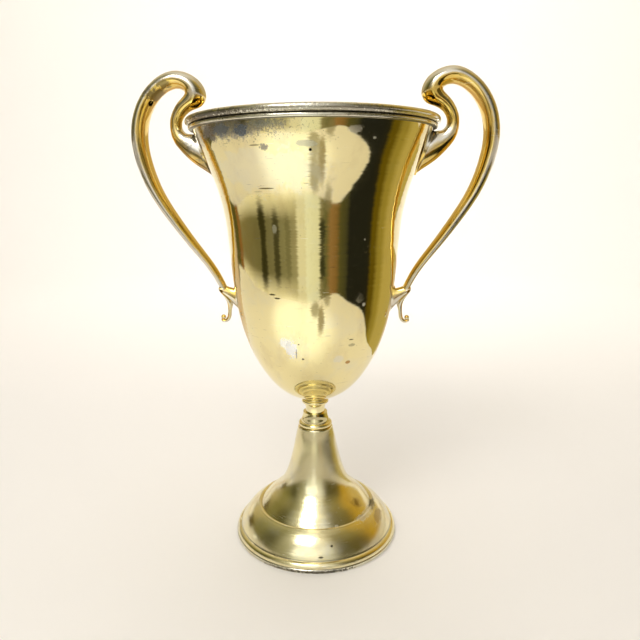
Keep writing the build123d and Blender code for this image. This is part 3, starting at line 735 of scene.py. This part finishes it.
# The room round the cup, every 30 degrees from the left back round the front to the right back.
# Each line is a height above level in degrees.
ROOM_STEP = 30
ROOM_FIRST_TURN = -165
ROOM = {
    0: "#CDB890 #B9A878 #6E6638 #5E5A34 #8A866A #E8ECDC #C0BAA0 #5A5530 #544A1C #C09A28 #CCB060 #CDB878",
    30: "#D4C29A #CDBE94 #8A8450 #4E4A28 #A8A488 #FFFFFF #FFFFFF #5A5434 #6A5E34 #C09C3C #D4BC80 #D4C29A",
    60: "#E8DCC0 #E8DCC0 #C0B68C #8E8A62 #C4C0A8 #FFFFFF #F8F2E4 #8E8660 #9A8E58 #D0AE50 #E4D4AC #E8DCC0",
    90: "#FBF6E8 #FBF6E8 #FBF6E8 #FBF6E8 #FBF6E8 #FBF6E8 #FBF6E8 #FBF6E8 #FBF6E8 #FBF6E8 #FBF6E8 #FBF6E8",
}
DRUM_REACH = 2250.0
DRUM_MIDDLE = 160.0


def room_tone(turn, lift):
    """The room's colour in a direction, eased between the tones named for it."""
    levels = sorted(ROOM)
    place = min(max(lift, 0), 89.9) / ROOM_STEP
    low = int(place)
    rows = []
    for level in (levels[low], levels[low + 1]):
        tones = [np.array(linear(tone)) for tone in ROOM[level].split()]
        along = ((turn - ROOM_FIRST_TURN) % 360) / ROOM_STEP
        first = int(along) % len(tones)
        share = along - int(along)
        share = share * share * (3 - 2 * share)
        rows.append(tones[first] * (1 - share) + tones[(first + 1) % len(tones)] * share)
    return rows[0] * (1 - place + low) + rows[1] * (place - low)


DRUM_LIFTS = [-4] + list(range(0, 90, 5))
DRUM_TURNS = range(-180, 180, 5)
drum_points, drum_tones = [], []
for lift in DRUM_LIFTS:
    for turn in DRUM_TURNS:
        a, e = math.radians(turn), math.radians(lift)
        drum_points.append((DRUM_REACH * math.sin(a) * math.cos(e), -DRUM_REACH * math.cos(a) * math.cos(e),
                            DRUM_MIDDLE + DRUM_REACH * math.sin(e)))
        drum_tones.append(room_tone(turn, lift))
drum_faces = tube_faces(0, len(DRUM_LIFTS), len(DRUM_TURNS), inwards=True)
drum_faces.append(tuple(range(len(drum_points) - len(DRUM_TURNS), len(drum_points))))

# What lies past the paper's edge as the cup mirrors it: for each direction, in degrees right of
# the front, how far the paper reaches, the tone just past it and the tone of the room farther out.
TABLE = """
    -118 1150 #5A5428 #5A5428 / -111 1060 #5A5428 #5A5428 / -109 1030 #8A6434 #8A6434
    -105 980 #8A6434 #8A6434 / -102 950 #EFE6CA #857A52 / -85 710 #F4ECD2 #7C7450
    -66 590 #F4ECD2 #6F6A4A / -48 530 #F4ECD2 #7A7558 / -30 495 #F0E8CC #8C8868
    -19 475 #DCD4B4 #A09A7C / -16 470 #E6E2CC #E6E2CC / -8 452 #E6E2CC #E6E2CC
    -6 452 #F0F2E2 #F0F2E2 / 9 480 #E6E6D0 #E6E6D0 / 12 490 #8C8464 #8C8464
    18 510 #66643F #66643F / 24 530 #94744A #94744A / 31 560 #86683C #86683C
    36 540 #57532E #57532E / 44 500 #46442C #46442C / 48 480 #24241E #24241E
    62 455 #24241E #24241E / 72 440 #24241E #24241E / 78 395 #28261A #28261A
    83 345 #64540F #64540F / 88 300 #64540F #64540F / 95 262 #96853A #96853A
    101 255 #9A893C #9A893C / 110 248 #BAA760 #BAA760 / 145 275 #BAA760 #BAA760
    155 380 #F0E2CC #D8BFA2 / 236 400 #F0E2CC #D8BFA2 / 242 1150 #5A5428 #5A5428
"""
TABLE_STEPS = [0, 60, 130, 230, 900, 1900]
TABLE_FADE = 230.0
TABLE_HEIGHT = 2.0
TABLE_TURN = 2.0
CORNER_EASE = (-5, -2.5, 0, 2.5, 5)


def toned(name, points, faces, tones):
    """A self-lit studio piece with a tone at each point, seen only in reflections."""
    face, tree, shader = glowing(name, "#000000")
    told = node(tree, "ShaderNodeAttribute", attribute_name="tone")
    tree.links.new(told.outputs["Color"], shader.inputs["Emission Color"])
    made = mesh_object(name, points, faces, face)
    told = made.data.attributes.new("tone", "FLOAT_COLOR", "POINT")
    told.data.foreach_set("color", np.array(tones, np.float32).ravel())
    return mirrored_only(made)


stops = [entry.split() for entry in TABLE.replace("\n", "/").split("/") if entry.strip()]
stop_turns = [float(stop[0]) for stop in stops]
stop_reach = [float(stop[1]) for stop in stops]
near_tones, far_tones = ([linear(stop[i]) for stop in stops] for i in (2, 3))
turns = sorted(set(stop_turns) | set(np.arange(stop_turns[0], stop_turns[-1], TABLE_TURN)))
table_points, table_faces, table_tones = [], [], []
for turn in turns:
    # the paper's edge is eased round its corners
    reach = np.mean([np.interp(turn + ease, stop_turns, stop_reach) for ease in CORNER_EASE])
    near, far = (np.array([np.interp(turn, stop_turns, [tone[i] for tone in tones]) for i in range(4)])
                 for tones in (near_tones, far_tones))
    a = math.radians(turn)
    for step in TABLE_STEPS:
        out = reach + step
        share = min(1.0, step / TABLE_FADE)
        table_points.append((out * math.sin(a), -out * math.cos(a), TABLE_HEIGHT))
        table_tones.append(near * (1 - share) + far * share)
wide = len(TABLE_STEPS)
for row in range(len(table_points) // wide - 1):
    for i in range(wide - 1):
        first = row * wide + i
        table_faces.append((first, first + 1, first + wide + 1, first + wide))
toned("room_drum", drum_points, drum_faces, drum_tones)
toned("table_surround", table_points, table_faces, table_tones)


CARD_RINGS = 10
CARD_SIDES = 40
CARD_FADE = 1.8
CARD_REACH = 1900


def soft_card(name, middle, size, colour, turn=0, height=6, cover=1.0, glow=1.0):
    """An oval card over the paper that fades out to its edge, turned anticlockwise in degrees."""
    t = math.radians(turn)
    points, covers = [], []
    for i in range(CARD_RINGS + 1):
        share = i / CARD_RINGS
        for j in range(CARD_SIDES):
            a = 2 * math.pi * j / CARD_SIDES
            x, y = size[0] * share * math.cos(a), size[1] * share * math.sin(a)
            points.append((middle[0] + x * math.cos(t) - y * math.sin(t),
                           middle[1] + x * math.sin(t) + y * math.cos(t), height))
            fade = min(1.0, (1 - share) * CARD_FADE)
            covers.append(cover * fade * fade * (3 - 2 * fade))
    face, tree, shader = glowing(name, colour, glow)
    told = node(tree, "ShaderNodeAttribute", attribute_name="cover")
    tree.links.new(told.outputs["Fac"], shader.inputs["Alpha"])
    made = mesh_object(name, points, tube_faces(0, CARD_RINGS + 1, CARD_SIDES), face)
    made.data.attributes.new("cover", "FLOAT", "POINT").data.foreach_set("value", covers)
    return mirrored_only(made)


# a painted pool of light on the paper in front of the cup, seen only in reflections
soft_card("front_light_pool_card", (-110, -290), (330, 230), "#FFFFF6", height=3, cover=0.85, glow=1.4)
soft_card("left_dark_card", (-800, -395), (360, 100), "#38351C", turn=26, height=8)
soft_card("left_dim_card", (-620, -630), (330, 84), "#3E3B22", turn=45, height=8, cover=0.9)
soft_card("left_haze_card", (-440, -790), (340, 66), "#6C6848", turn=61, height=8, cover=0.6)
soft_card("front_oval_card", (190, -760), (60, 170), "#3C3C26", turn=14, height=8)
# painted shadow: three grey cards where the person in front shades the paper, seen only in reflections
soft_card("front_shade_card", (30, -400), (55, 80), "#8F8664", turn=5, height=5, cover=0.75)
soft_card("front_shadow_stem_card", (72, -330), (34, 125), "#94855C", turn=14, height=6, cover=0.85)
soft_card("front_shadow_root_card", (180, -490), (50, 120), "#857C5C", turn=22, height=5, cover=0.7)


def standing_card(name, across, up, colour, glow=1.0, reach=CARD_REACH):
    """An upright card round the cup: degrees right of the front, and degrees above level."""
    corners = []
    for side, rise in ((0, 0), (1, 0), (1, 1), (0, 1)):
        turn, lift = math.radians(across[side]), math.radians(up[rise])
        corners.append((reach * math.sin(turn), -reach * math.cos(turn),
                        DRUM_MIDDLE + reach * math.tan(lift)))
    mirrored_only(mesh_object(name, corners, [(0, 1, 2, 3)], glowing(name, colour, glow)[0]))


standing_card("window_card", (-32, 8), (14, 40), "#FFFFFF", 1.5)
standing_card("door_card", (-12, 3), (2, 14), "#FFFFFF", 1.1, 1880)
standing_card("left_spark_card", (-98, -93), (-1, 5), "#FFFFFF", 1.3)
standing_card("left_corner_card", (-128, -112), (-4, 9), "#5A4A18")

scene = bpy.context.scene
world = bpy.data.worlds.new("soft_studio")
scene.world = world
world.use_nodes = True
world.node_tree.nodes["Background"].inputs["Color"].default_value = linear("#FFFCF8")
world.node_tree.nodes["Background"].inputs["Strength"].default_value = 0.45
scene.view_settings.view_transform = "Standard"


def soft_light(name, place, aim, size, power):
    """A square soft box, aimed at a point, all in millimetres."""
    lamp = bpy.data.lights.new(name, "AREA")
    lamp.shape = "SQUARE"
    lamp.size = size * MM
    lamp.energy = power
    lamp.color = linear("#FFFDFA")[:3]
    made = bpy.data.objects.new(name, lamp)
    scene.collection.objects.link(made)
    start, end = Vector(place) * MM, Vector(aim) * MM
    facing = (end - start).to_track_quat("-Z", "Y").to_matrix().to_4x4()
    made.matrix_world = Matrix.Translation(start) @ facing
    return made


soft_light("key_soft_box", (-180, -480, 760), (-20, -40, 0), 300, 2.3)
# the other two light the paper but don't show in the polish
soft_light("backdrop_soft_box", (0, 900, 1500), (0, 2200, 500), 900, 19.0).visible_glossy = False
soft_light("top_soft_box", (100, 300, 1500), (0, 0, 100), 900, 3.0).visible_glossy = False

# ---------------------------------------------------------------------------
# Camera, a hand's reach in front of the cup and a little above its waist.
# ---------------------------------------------------------------------------
CAMERA_REACH = 0.4071
CAMERA_HEIGHT = 0.2538
CAMERA_SWING = 3.14
CAMERA_PITCH = 12.87
CAMERA_ROLL = -0.48
LENS_LENGTH = 32.625
SENSOR_WIDTH = 36.0
LENS_SHIFT = (0.0086, 0.0058)
NEAREST_SEEN = 0.01
lens = bpy.data.cameras.new("camera")
lens.lens = LENS_LENGTH
lens.sensor_width = SENSOR_WIDTH
lens.shift_x, lens.shift_y = LENS_SHIFT
lens.clip_start = NEAREST_SEEN
camera = bpy.data.objects.new("camera", lens)
scene.collection.objects.link(camera)
swing = math.radians(CAMERA_SWING)
place = Vector((CAMERA_REACH * math.sin(swing), -CAMERA_REACH * math.cos(swing), CAMERA_HEIGHT))
camera.matrix_world = (Matrix.Translation(place) @ Matrix.Rotation(swing, 4, "Z")
                       @ Matrix.Rotation(math.radians(90 - CAMERA_PITCH), 4, "X")
                       @ Matrix.Rotation(math.radians(CAMERA_ROLL), 4, "Z"))
scene.camera = camera
